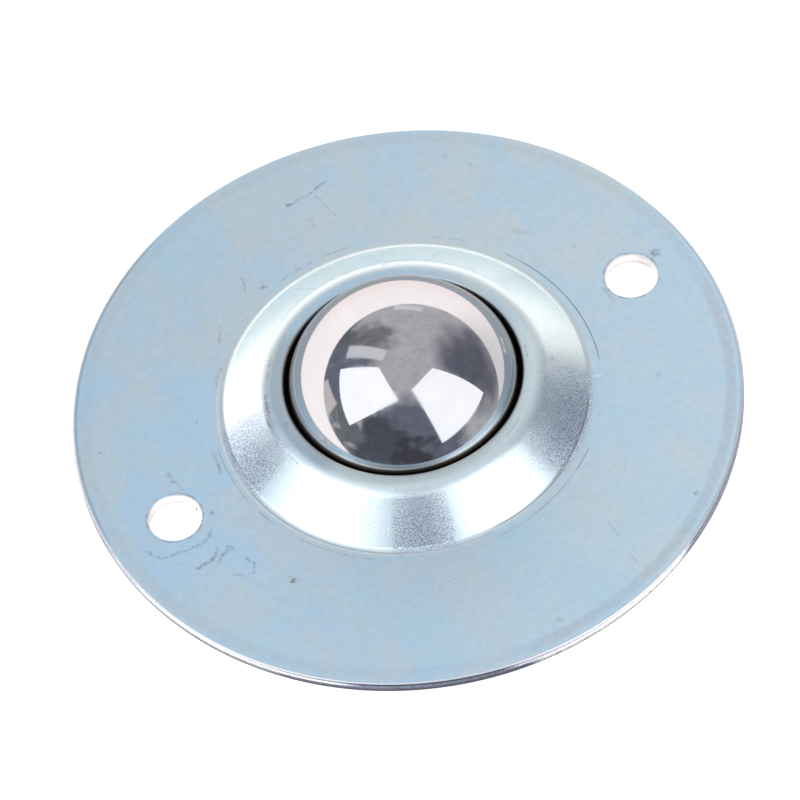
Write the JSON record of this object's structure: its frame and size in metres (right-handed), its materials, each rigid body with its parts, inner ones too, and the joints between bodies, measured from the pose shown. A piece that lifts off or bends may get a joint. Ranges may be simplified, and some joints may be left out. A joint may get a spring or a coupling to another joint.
{
  "type": "ball transfer unit",
  "caption": "Round-flanged ball transfer unit: a steel ball held in a raised dome on a thin plated flange with a screw hole on each side, and a drawn cup below.",
  "frame": {"origin": "on the main ball's vertical axis, in the mounting face under the lower housing's flange", "axes": "+Z out of the unit through the top of the main ball, +X through the centre of one of the two screw holes"},
  "size_m": [0.07, 0.07, 0.0308],
  "materials": {
    "cover_zinc": "bright zinc plate with a bluish passivation, faint mottling and handling marks",
    "housing_zinc": "bright zinc plate",
    "hardened_steel": "hardened and oiled steel",
    "retainer_steel": "plain stamped steel",
    "wiper_felt": "dense black oiled felt",
    "polished_ball": "mirror-polished chrome steel",
    "support_ball_steel": "polished bearing steel with a film of oil"
  },
  "bodies": {
    "housing": {"flange_cover": "cover_zinc", "lower_housing": "housing_zinc", "seat_cup": "hardened_steel", "ball_retainer": "retainer_steel", "wiper_ring": "wiper_felt"},
    "ball_bed": {"pole_ball": "support_ball_steel", "ball_row_1": "support_ball_steel", "ball_row_2": "support_ball_steel", "ball_row_3": "support_ball_steel", "ball_row_4": "support_ball_steel", "upper_ball_rows": "support_ball_steel"},
    "ball": {"main_ball": "polished_ball"}
  },
  "joints": [
    {"name": "bed_swivel", "type": "hinge", "parent": "housing", "child": "ball_bed", "pos_m": [0, 0, 0.0018], "axis": [0, 0, 1], "continuous": true},
    {"name": "ball_roll", "type": "hinge", "parent": "ball_bed", "child": "ball", "pos_m": [0, 0, 0.0018], "axis": [1, 0, 0], "continuous": true}
  ]
}
